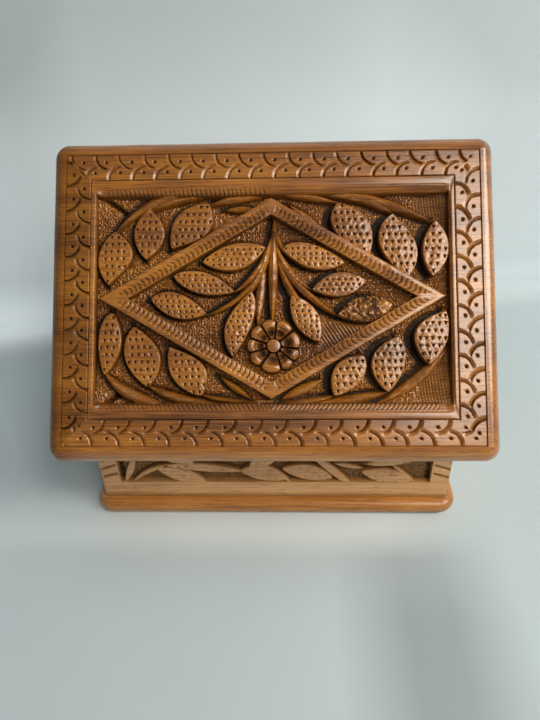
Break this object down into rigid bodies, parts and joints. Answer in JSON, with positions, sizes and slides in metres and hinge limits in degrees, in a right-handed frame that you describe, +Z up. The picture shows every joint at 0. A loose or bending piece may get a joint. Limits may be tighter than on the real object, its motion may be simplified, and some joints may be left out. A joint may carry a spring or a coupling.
{
  "type": "rosary box",
  "caption": "Small carved walnut keepsake box with an overhanging round-edged lid on brass hinges and a stepped base board; the lid is carved with leaves, a flower and a diamond of raised bands.",
  "frame": {"origin": "centre of the underside of the base board, where the box rests", "axes": "+X along the hinge line, -Y towards the hinge side, +Z up; at rest the lid stands open by 50 degrees"},
  "size_m": [0.15, 0.1045, 0.1212],
  "materials": {
    "lid_walnut": "waxed and polished",
    "wall_walnut": "waxed",
    "base_walnut": "waxed",
    "hinge_brass": "dull polished",
    "screw_brass": "dull",
    "dowel_wood": "bare"
  },
  "bodies": {
    "box": {"hinge_side_wall": "wall_walnut", "opening_side_wall": "wall_walnut", "left_wall": "wall_walnut", "right_wall": "wall_walnut", "base_board": "base_walnut", "left_hinge_wall_leaf": "hinge_brass", "left_hinge_pin": "screw_brass", "right_hinge_wall_leaf": "hinge_brass", "right_hinge_pin": "screw_brass", "left_hinge_wall_screws": "screw_brass", "right_hinge_wall_screws": "screw_brass", "left_corner_dowels": "dowel_wood", "right_corner_dowels": "dowel_wood", "base_screws": "screw_brass"},
    "lid": {"lid_board": "lid_walnut", "left_hinge_lid_leaf": "hinge_brass", "right_hinge_lid_leaf": "hinge_brass", "left_hinge_lid_screws": "screw_brass", "right_hinge_lid_screws": "screw_brass"}
  },
  "joints": [
    {"name": "lid_hinge", "type": "hinge", "parent": "box", "child": "lid", "pos_m": [0, -0.0454, 0.04015], "axis": [1, 0, 0], "range_deg": [-50, 58]}
  ]
}
